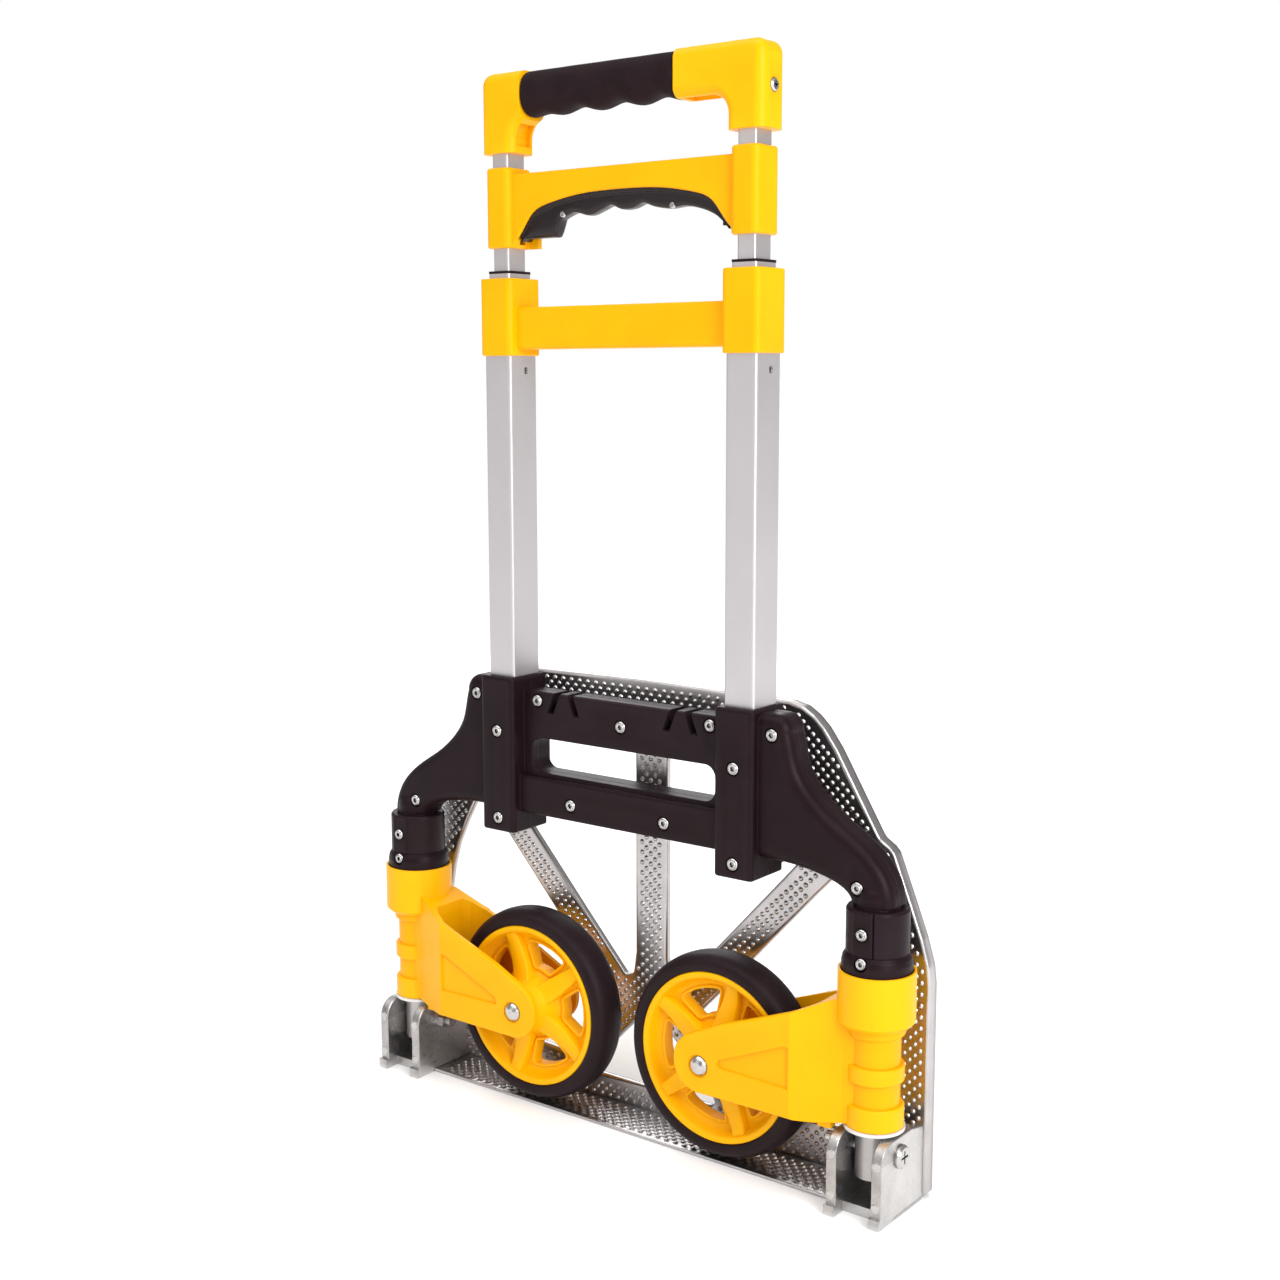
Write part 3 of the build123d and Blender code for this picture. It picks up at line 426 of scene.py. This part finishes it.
# radius as a share of the dome's, number of points, turn in radians
DOME_POINTS = ((1.0, 10, 0.0), (0.72, 8, 0.3), (0.4, 6, 0.0))
half = [(0.0, 0.0), (231.0, 0.0), (235.0, 4.0), (235.0, 152.0), (233.5, 165.0), (228.0, 183.0),
        (219.0, 206.0), (205.5, 239.0), (202.0, 242.5), (194.0, 247.5), (169.5, 288.0), (159.5, 304.5),
        (149.0, 318.5), (141.0, 326.0), (132.0, 331.5), (120.0, 334.3), (0.0, 335.9)]
corner_r = [0, 3, 3, 20, 20, 20, 20, 8, 8, 12, 20, 20, 12, 12, 12, 12, 0]
outline = rounded(half + [(-x, z) for x, z in reversed(half[1:-1])],
                  corner_r + list(reversed(corner_r[1:-1])))
outline = resampled(outline, 6.0)
upper = [(15.0, 126.0), (17.5, 108.0), (24.0, 106.0), (63.6, 148.6), (118.0, 208.0), (134.0, 226.0),
         (128.0, 262.0), (100.0, 300.0), (15.0, 300.0)]
side = [(83.0, 31.0), (208.0, 36.0), (208.0, 100.0), (207.0, 139.0), (203.0, 161.0), (196.6, 181.5),
        (187.0, 201.5), (172.0, 228.0), (143.9, 198.9), (97.0, 147.6), (62.0, 109.0), (42.0, 88.0),
        (40.0, 74.0)]
low = [(-63.0, 21.0), (63.0, 21.0), (24.7, 61.0), (7.0, 78.0), (-7.0, 78.0), (-24.7, 61.0)]
windows = []
for shape, radius in ((upper, 5.0), (side, 6.0), (low, 5.0)):
    windows.append(resampled(rounded(shape, radius), 5.0))
    if shape is not low:
        windows.append(resampled(rounded([(-x, z) for x, z in reversed(shape)], radius), 5.0))
sheet_outer = offset(outline, -EDGE)
sheet_holes = [offset(w, EDGE) for w in windows]
grid = np.array([(PITCH_X * i + (PITCH_X / 2 if row % 2 else 0.0), FIRST_ROW_Z + PITCH_Z * row)
                 for row in range(DOME_ROWS) for i in range(-30, 31)])
good = inside(sheet_outer, grid) & (far_from(sheet_outer, grid) > DOME_FROM_OUTLINE)
for hole in sheet_holes:
    good &= ~inside(hole, grid) & (far_from(hole, grid) > DOME_FROM_WINDOW)
domes = grid[good]
spots = []
for x, z in domes:
    spots.append((x, z))
    for share, number, turn in DOME_POINTS:
        r = DOME_R * share
        for k in range(number):
            angle = 2 * math.pi * k / number + turn
            spots.append((x + r * math.cos(angle), z + r * math.sin(angle)))


def dome(distance, height):
    """Height of a dome at a distance from its centre, given as a share of its radius."""
    return height * np.clip(1 - distance ** 2, 0.0, None) ** 0.8


def dome_rise(x, z):
    """Height of the pressed domes at each (x, z)."""
    row = np.round((z - FIRST_ROW_Z) / PITCH_Z)
    best = np.zeros(len(x))
    centres = {(round(a, 1), round(b, 1)) for a, b in domes}
    for dr in (-1, 0, 1):
        r = row + dr
        shift = np.where(np.mod(r, 2) == 1, PITCH_X / 2, 0.0)
        cx = np.round((x - shift) / PITCH_X) * PITCH_X + shift
        cz = FIRST_ROW_Z + PITCH_Z * r
        known = np.array([(round(a, 1), round(b, 1)) in centres for a, b in zip(cx, cz)])
        rise = dome(np.hypot(x - cx, z - cz) / DOME_R, DOME_H)
        best = np.maximum(best, np.where(known, rise, 0.0))
    return best


parts = [sheet(sheet_outer, sheet_holes, spots, lambda x, z: FRONT - dome_rise(x, z),
               lambda x, z: FRONT + SHEET_T - dome_rise(x, z))]
# the turned rim round the plate, then the flanged edge of each window
parts.append(band(outline, [(-EDGE, FRONT), (-1.5, FRONT + 0.15), (-0.7, FRONT + 0.7), (-0.15, FRONT + 1.5),
                            (0.0, FRONT + 2.6), (0.0, RIM_BACK - 0.5), (-0.5, RIM_BACK),
                            (-1.3, RIM_BACK), (-1.8, RIM_BACK - 0.5), (-1.8, FRONT + 3.0),
                            (-2.1, FRONT + 2.1), (-EDGE, FRONT + SHEET_T)]))
for window in windows:
    parts.append(band(window, [(EDGE, FRONT), (1.5, FRONT + 0.15), (0.7, FRONT + 0.7), (0.15, FRONT + 1.5),
                               (0.0, FRONT + 2.6), (0.0, FRONT + 4.4), (0.4, FRONT + 4.8),
                               (1.2, FRONT + 4.8), (1.6, FRONT + 4.4), (1.6, FRONT + 3.0),
                               (1.9, FRONT + 2.1), (EDGE, FRONT + SHEET_T)]))
piece("toe_plate_pressed", *joined(parts), PLATE, "toe_plate_body", "bright_plate", sharp=50.0,
      replaces=("toe_plate",))

# ---------------------------------------------------------------- lip of the toe plate
LIP_FRONT = -11.0     # y of the front edge
LIP_BACK = 28.6
LIP_HALF = 232.4      # half of the width
LIP_TOP = 2.1
LIP_BOTTOM = 0.02
LIP_DOME_R = 1.9
LIP_DOME_H = 1.0
BEAD_R = 1.2          # rolled front edge
lip_outline = resampled(rounded([(-LIP_HALF, LIP_FRONT + 1.6), (LIP_HALF, LIP_FRONT + 1.6),
                                 (LIP_HALF, LIP_BACK), (-LIP_HALF, LIP_BACK)], 1.5), 6.0)
# the domes stop short of the hinge brackets and of the plate
lip_grid = np.array([(PITCH_X * i + (PITCH_X / 2 if row % 2 else 0.0), -5.0 + PITCH_Z * row)
                     for row in range(8) for i in range(-23, 24)])
lip_grid = lip_grid[(np.abs(lip_grid[:, 0]) < 184.0) & (lip_grid[:, 1] < 25.0)]
lip_spots = []
for x, y in lip_grid:
    lip_spots.append((x, y))
    for r, number in ((LIP_DOME_R, 10), (1.3, 8), (0.7, 6)):
        for k in range(number):
            angle = 2 * math.pi * k / number
            lip_spots.append((x + r * math.cos(angle), y + r * math.sin(angle)))


def lip_rise(x, y):
    """Height of the small domes on the lip."""
    best = np.zeros(len(x))
    for cx, cy in lip_grid:
        best = np.maximum(best, dome(np.hypot(x - cx, y - cy) / LIP_DOME_R, LIP_DOME_H))
    return best


upright_verts, lip_faces = sheet(lip_outline, [], lip_spots, lambda x, y: LIP_TOP + lip_rise(x, y),
                                 lambda x, y: np.full(len(x), LIP_BOTTOM))
lip_verts = [(x, z, y) for x, y, z in upright_verts]
bead_rings = []
for x in np.linspace(-LIP_HALF, LIP_HALF, 60):
    bead_rings.append([(float(x), LIP_FRONT + BEAD_R + BEAD_R * math.cos(a),
                        BEAD_R + LIP_BOTTOM + BEAD_R * math.sin(a))
                       for a in np.linspace(0, 2 * math.pi, 16, endpoint=False)])
piece("toe_lip_pressed", *joined([(lip_verts, lip_faces), loft(bead_rings)]), PLATE, "toe_plate_body",
      "bright_plate", sharp=50.0, replaces=("toe_lip",))

# ---------------------------------------------------------------- wheels
WHEEL_X = 86.9        # axle centres stand at plus and minus this x
WHEEL_Z = 79.4
SPOKES = 5
SPOKE_STEP = 360 / SPOKES
WEB_Y = 3.7           # half thickness of the web between the spokes
WEB_OUTER_R = 51.0
WEB_INNER_R = 22.0
BACK_RIB = 0.72       # height of the rear ribs as a share of the front ones
# radius, half width and y of the crest along each spoke
SPOKE_STATIONS = ((16.0, 8.2, -16.4), (22.0, 8.0, -13.0), (28.0, 7.5, -11.0), (36.0, 6.8, -9.8),
                  (44.0, 6.0, -9.4), (51.0, 5.4, -9.8), (56.8, 5.0, -11.4))
tyre_half = [(62.62, -12.6), (63.1, -13.7), (64.8, -14.2), (67.4, -14.3), (69.6, -13.7), (71.6, -12.1),
             (73.2, -9.6), (74.4, -6.0), (75.0, 0.0)]
tyre_front = smooth_line(tyre_half, 3)
tyre_profile = tyre_front + [(r, -y) for r, y in reversed(tyre_front[:-1])]
bead = smooth_line([(62.55, -12.0), (62.3, -13.0), (61.3, -13.55), (59.6, -13.6), (58.2, -13.2),
                    (57.4, -12.2), (56.4, -9.8), (55.2, -7.2), (54.0, -5.4), (52.4, -4.2), (50.4, -3.7)], 2)
rim_profile = bead + [(r, -y) for r, y in reversed(bead)]
hub_front = smooth_line([(27.0, -3.7), (25.0, -4.4), (23.2, -6.4), (21.6, -10.5), (19.8, -15.5),
                         (18.0, -20.0), (16.8, -23.6), (15.6, -25.3), (13.8, -25.8), (8.2, -25.8)], 3)
hub_back = smooth_line([(8.2, 18.1), (12.5, 18.1), (14.6, 17.2), (16.0, 14.5), (18.0, 10.0), (20.5, 6.2),
                        (23.2, 4.2), (26.0, 3.7)], 2)


def wheel(side_name, sign, first_spoke):
    """Rim with hub, web, windows and spokes, and its tyre; first_spoke is in degrees."""
    cx = sign * WHEEL_X
    body = "wheel_" + side_name
    parts = [lathe_y(rim_profile, cx, WHEEL_Z, 160), lathe_y(hub_front + hub_back, cx, WHEEL_Z, 128)]

    def polar(r, degrees):
        angle = math.radians(degrees)
        return (cx + r * math.cos(angle), WHEEL_Z + r * math.sin(angle))

    ring_out = [polar(WEB_OUTER_R, 360 * k / 120) for k in range(120)]
    ring_in = [polar(WEB_INNER_R, -360 * k / 60) for k in range(60)]
    holes = []
    for k in range(SPOKES):
        mid = first_spoke + SPOKE_STEP / 2 + SPOKE_STEP * k
        shape = [polar(29.5, mid + d) for d in (-15, -5, 5, 15)]
        shape += [polar(48.6, mid + d) for d in (22, 14, 5, -5, -14, -22)]
        window = rounded(shape, 3.0, 4)
        holes.append(window)
        parts.append(band(window, [(0.0, -3.6), (0.0, -4.9), (0.4, -5.4), (1.5, -5.4), (2.1, -4.9),
                                   (2.5, -3.6)]))
        parts.append(band(window, [(0.0, 3.6), (2.4, 3.6), (2.0, 5.0), (0.4, 5.0)][::-1]))
    parts.append(sheet(ring_out, [ring_in] + holes, [], lambda x, z: np.full(len(x), -WEB_Y),
                       lambda x, z: np.full(len(x), WEB_Y)))
    for k in range(SPOKES):
        angle = math.radians(first_spoke + SPOKE_STEP * k)
        c, s = math.cos(angle), math.sin(angle)
        for front in (True, False):
            rings = []
            for r, half_width, top in SPOKE_STATIONS:
                if not front:
                    top *= BACK_RIB
                section = [(-half_width - 0.5, -3.0), (-half_width, top + 1.0),
                           (-half_width + 0.3, top + 0.35), (-half_width + 0.9, top),
                           (half_width - 0.9, top), (half_width - 0.3, top + 0.35),
                           (half_width, top + 1.0), (half_width + 0.5, -3.0)]
                if not front:
                    section = [(-w, -y) for w, y in section]
                rings.append([(cx + r * c - w * s, y, WHEEL_Z + r * s + w * c) for w, y in section])
            parts.append(loft(rings))
    piece("rim_moulded_" + side_name, *joined(parts), YELLOW_RIM, body, "yellow_plastic", sharp=38.0,
          replaces=("rim_" + side_name,))
    piece("tyre_tread_" + side_name, *lathe_y(tyre_profile, cx, WHEEL_Z, 180), RUBBER, body,
          "tyre_rubber", sharp=60.0, replaces=("tyre_" + side_name,))


wheel("right", 1, 75.0)
wheel("left", -1, 38.0)

# ---------------------------------------------------------------- grip
GRIP_Z = 757.2
GRIP_LEFT = -84.6
GRIP_RIGHT = 50.6
FINGER_PITCH = 36.0
FINGER_PHASE = 20.7
FINGER_DEPTH = 3.5
FINGER_FADE = 26.0    # the waves grow from nothing over this run at the left end
END_ROUND = 3.0


def grip_section(x, half_y, top, bottom):
    """Soft-cornered section of the grip at x."""
    ring = []
    middle, half_z = (top + bottom) / 2, (top - bottom) / 2
    for k in range(40):
        angle = 2 * math.pi * k / 40
        c, s = math.cos(angle), math.sin(angle)
        ring.append((x, half_y * math.copysign(abs(c) ** 0.85, c),
                     GRIP_Z + middle + half_z * math.copysign(abs(s) ** 0.85, s)))
    return ring


rings = []
for x in np.linspace(GRIP_LEFT, GRIP_RIGHT, 120):
    reach = min(1.0, max(0.0, (x - GRIP_LEFT) / FINGER_FADE))
    finger = 1.0 - reach * (0.5 - 0.5 * math.cos(2 * math.pi * (x + FINGER_PHASE) / FINGER_PITCH))
    end = min(1.0, (x - GRIP_LEFT) / END_ROUND, (GRIP_RIGHT - x) / END_ROUND)
    close = 1 - 0.10 * (1 - math.sqrt(max(0.0, 1 - (1 - end) ** 2)))
    rings.append(grip_section(float(x), 14.4 * close, 16.0 * close,
                              (-12.6 - FINGER_DEPTH * finger) * close))
piece("grip_sleeve", *loft(rings), FOAM, "handle", "black_foam", sharp=70.0, replaces=("grip",))

# ---------------------------------------------------------------- release lever
arch = [(-94.0, 655.5), (-86.0, 665.0), (-78.0, 674.2), (-62.0, 680.2), (-40.0, 684.0), (0.0, 685.8),
        (40.0, 684.0), (62.0, 680.2), (78.0, 674.2), (86.0, 665.0), (94.0, 655.5)]
wave = [(-56.0, 668.0), (-50.0, 670.6), (-42.0, 672.4), (-30.0, 669.8), (-20.0, 672.6), (-10.0, 675.6),
        (-1.0, 672.4), (8.0, 672.4), (18.0, 675.4), (28.0, 672.4), (40.0, 670.6), (54.0, 671.4),
        (68.0, 668.6), (80.0, 663.6), (90.7, 655.6)]
arch_x, arch_z = np.array(smooth_line(arch, 8)).T
wave_x, wave_z = np.array(smooth_line(wave, 8)).T
BLOCK_RIGHT = -60.0   # the deep block at the left end, then a short step up to the waves
BLOCK_LOW = 656.3
STEP_RUN = 4.0
STEP_TOP = 668.0
stations = [-90.7, -90.2, *np.linspace(-89.0, -60.5, 20), *np.linspace(-59.5, 89.0, 130), 90.2, 90.7]
rings = []
for x in stations:
    top = float(np.interp(x / 0.965, arch_x, arch_z)) + 3.5
    lip = float(np.interp(x, arch_x, arch_z)) - 2.4
    lowest = BLOCK_LOW if x < BLOCK_RIGHT else float(np.interp(x, wave_x, wave_z))
    if BLOCK_RIGHT <= x < BLOCK_RIGHT + STEP_RUN:
        lowest = BLOCK_LOW + (STEP_TOP - BLOCK_LOW) * (x - BLOCK_RIGHT) / STEP_RUN
    lip = min(lip, top - 1.0)
    lowest = min(lowest, lip - 2.6)
    span = (lip - 1.4) - lowest
    side_line = [(-6.6, top), (-6.6, lip + 0.5), (-6.45, lip + 0.1), (-6.0, lip - 0.2), (-5.4, lip - 0.4),
                 (-5.0, lip - 0.8), (-5.0, lip - 1.4), (-5.5, lip - 1.4 - span * 0.35),
                 (-5.6, lip - 1.4 - span * 0.6), (-5.1, lowest + span * 0.14), (-3.8, lowest + span * 0.03),
                 (-2.0, lowest)]
    section = side_line + [(-y, z) for y, z in reversed(side_line)]
    rings.append([(x, y, z) for y, z in section])
arms = []             # flat bars from the lever's ends into the tubes
for sign in (-1, 1):
    x0, x1 = sorted((sign * 84.0, sign * 108.6))
    arms.append(([(x, y, z) for x in (x0, x1) for y in (-2.1, 2.1) for z in (657.1, 661.9)],
                 [(0, 1, 3, 2), (4, 6, 7, 5), (0, 4, 5, 1), (2, 3, 7, 6), (0, 2, 6, 4), (1, 5, 7, 3)]))
piece("lever_moulded", *joined([loft(rings)] + arms), LEVER, "lever", "black_plastic", sharp=48.0,
      replaces=("release_lever",))
# the two small screws in the lever's face
for tag, x, z in (("left", -52.4, 671.6), ("right", 44.4, 672.4)):
    head = lathe_y([(0.01, -5.95), (0.5, -5.95), (0.7, -5.5), (1.3, -5.5), (1.5, -6.0), (1.9, -5.9),
                    (2.1, -5.3), (2.1, -4.0), (0.01, -4.0)], x, z, 32)
    piece("lever_screw_" + tag, *head, BRIGHT, "lever", "bright_steel", sharp=40.0)

# ---------------------------------------------------------------- housing and clamp screws
HEAD_HEIGHT = 2.1
HOUSING_HEAD_R = 4.6
HOUSING_SHANK_R = 2.0
CLAMP_HEAD_R = 4.2
CLAMP_SHANK_R = 1.6
CLAMP_SEAT_Y = -23.0
CLAMP_LENGTH = 4.2
PIVOT_X = 211.7
# (share of the head radius, y below the top of the head) from the socket's corner to the rim
HEAD_PROFILE = ((0.42, 1.7), (0.42, 0.25), (0.48, 0.0), (0.62, 0.08), (0.68, 0.5), (0.74, 0.5),
                (0.79, 0.25), (0.90, 0.6), (0.98, 1.4))
SOCKET_POINTS = (1, 2)    # which points of the whole profile form the hex socket


def socket_screw(x, z, seat_y, radius, length, shank_r):
    """Button-head screw along Y: hex socket, crown, groove and rim on the -Y side, then the shank."""
    top = seat_y - HEAD_HEIGHT
    profile = [(0.01, top + 1.75)] + [(radius * share, top + drop) for share, drop in HEAD_PROFILE]
    profile += [(radius, seat_y), (shank_r, seat_y), (shank_r, seat_y + length), (0.01, seat_y + length)]
    verts, faces = lathe_y(profile, x, z, 48)
    shaped = []
    for index, (vx, vy, vz) in enumerate(verts):
        if index % len(profile) in SOCKET_POINTS:
            turn = math.atan2(vz - z, vx - x) % math.radians(60) - math.radians(30)
            flat = math.cos(math.radians(30)) / math.cos(turn)
            vx, vz = x + (vx - x) * flat, z + (vz - z) * flat
        shaped.append((vx, vy, vz))
    return shaped, faces


# centre x and z, y of the head's seat, length under the head; all but the last are mirrored pairs
HOUSING_SCREWS = [(107.7, 293.4, -20.0, 31.6), (107.7, 226.3, -20.0, 31.6), (78.8, 317.8, -6.6, 15.6),
                  (42.9, 243.4, -12.0, 20.6), (134.1, 318.7, -13.0, 20.6), (202.1, 224.5, -13.0, 20.6),
                  (0.0, 307.0, -6.6, 15.6)]
heads = [socket_screw(side * x, z, seat, HOUSING_HEAD_R, length, HOUSING_SHANK_R)
         for x, z, seat, length in HOUSING_SCREWS for side in ((-1, 1) if x else (1,))]
piece("housing_screws_socket", *joined(heads), BRIGHT, "frame", "bright_steel", sharp=38.0,
      replaces=("housing_screws",))
heads = [socket_screw(side * PIVOT_X, z, CLAMP_SEAT_Y, CLAMP_HEAD_R, CLAMP_LENGTH, CLAMP_SHANK_R)
         for side in (-1, 1) for z in (197.0, 177.2)]
piece("clamp_screws_socket", *joined(heads), BRIGHT, "frame", "bright_steel", sharp=38.0,
      replaces=("clamp_screws",))

# ---------------------------------------------------------------- stage, light, camera
FLOOR_HALF = 30.0     # metres
floor_mesh = bpy.data.meshes.new("floor")
floor_mesh.from_pydata([(-FLOOR_HALF, -FLOOR_HALF, 0), (FLOOR_HALF, -FLOOR_HALF, 0),
                        (FLOOR_HALF, FLOOR_HALF, 0), (-FLOOR_HALF, FLOOR_HALF, 0)], [], [(0, 1, 2, 3)])
floor = bpy.data.objects.new("floor", floor_mesh)
SCENE.collection.objects.link(floor)
floor_material = bpy.data.materials.new("pale floor")
floor_material.use_nodes = True
floor_shader = floor_material.node_tree.nodes["Principled BSDF"]
floor_shader.inputs["Base Color"].default_value = (0.96, 0.96, 0.96, 1)
floor_shader.inputs["Roughness"].default_value = 0.9
floor_shader.inputs["Specular IOR Level"].default_value = 0.0
floor_mesh.materials.append(floor_material)

world = bpy.data.worlds.new("studio")
SCENE.world = world
world.use_nodes = True
world_nodes, world_links = world.node_tree.nodes, world.node_tree.links
ambient = world_nodes["Background"]
ambient.inputs["Color"].default_value = (1.0, 0.98, 0.97, 1)
ambient.inputs["Strength"].default_value = 0.38
seen = world_nodes.new("ShaderNodeBackground")
seen.inputs["Color"].default_value = (1, 1, 1, 1)
seen.inputs["Strength"].default_value = 1.0
light_path = world_nodes.new("ShaderNodeLightPath")
pick = world_nodes.new("ShaderNodeMixShader")
world_links.new(light_path.outputs["Is Camera Ray"], pick.inputs["Fac"])
world_links.new(ambient.outputs["Background"], pick.inputs[1])
world_links.new(seen.outputs["Background"], pick.inputs[2])
world_links.new(pick.outputs["Shader"], world_nodes["World Output"].inputs["Surface"])


def area_light(name, place, target, width, height, power):
    """Rectangular lamp in metres and watts, turned towards a target."""
    data = bpy.data.lights.new(name, "AREA")
    data.shape = "RECTANGLE"
    data.size = width
    data.size_y = height
    data.energy = power
    lamp = bpy.data.objects.new(name, data)
    SCENE.collection.objects.link(lamp)
    lamp.location = place
    lamp.rotation_mode = "QUATERNION"
    lamp.rotation_quaternion = (Vector(target) - Vector(place)).to_track_quat("-Z", "Y")


area_light("key", (2.1, -0.9, 1.3), (0.1, 0, 0.35), 1.1, 1.6, 46.0)
area_light("front", (-0.9, -2.2, 1.3), (0, 0, 0.35), 1.4, 1.2, 4.0)
area_light("back", (-1.3, 1.7, 1.3), (0, 0, 0.35), 1.2, 1.2, 14.0)
sun_data = bpy.data.lights.new("overhead", "SUN")
sun_data.energy = 2.2
sun_data.angle = math.radians(70)
sun = bpy.data.objects.new("overhead", sun_data)
SCENE.collection.objects.link(sun)
sun.rotation_euler = Euler((math.radians(12), math.radians(-6), 0.0), "XYZ")

camera_data = bpy.data.cameras.new("camera")
camera_data.sensor_width = 36.0
camera_data.lens = 49.25
camera_data.clip_start = 0.05
camera = bpy.data.objects.new("camera", camera_data)
SCENE.collection.objects.link(camera)
camera.location = (0.76558, -0.98508 + Y_SHIFT * MM, 0.55726)
pitch_down, roll, heading = 8.5405, 0.086, 37.392
camera.rotation_euler = Euler((math.radians(90 - pitch_down), math.radians(roll),
                               math.radians(heading)), "XYZ")
SCENE.camera = camera
SCENE.view_settings.view_transform = "Standard"
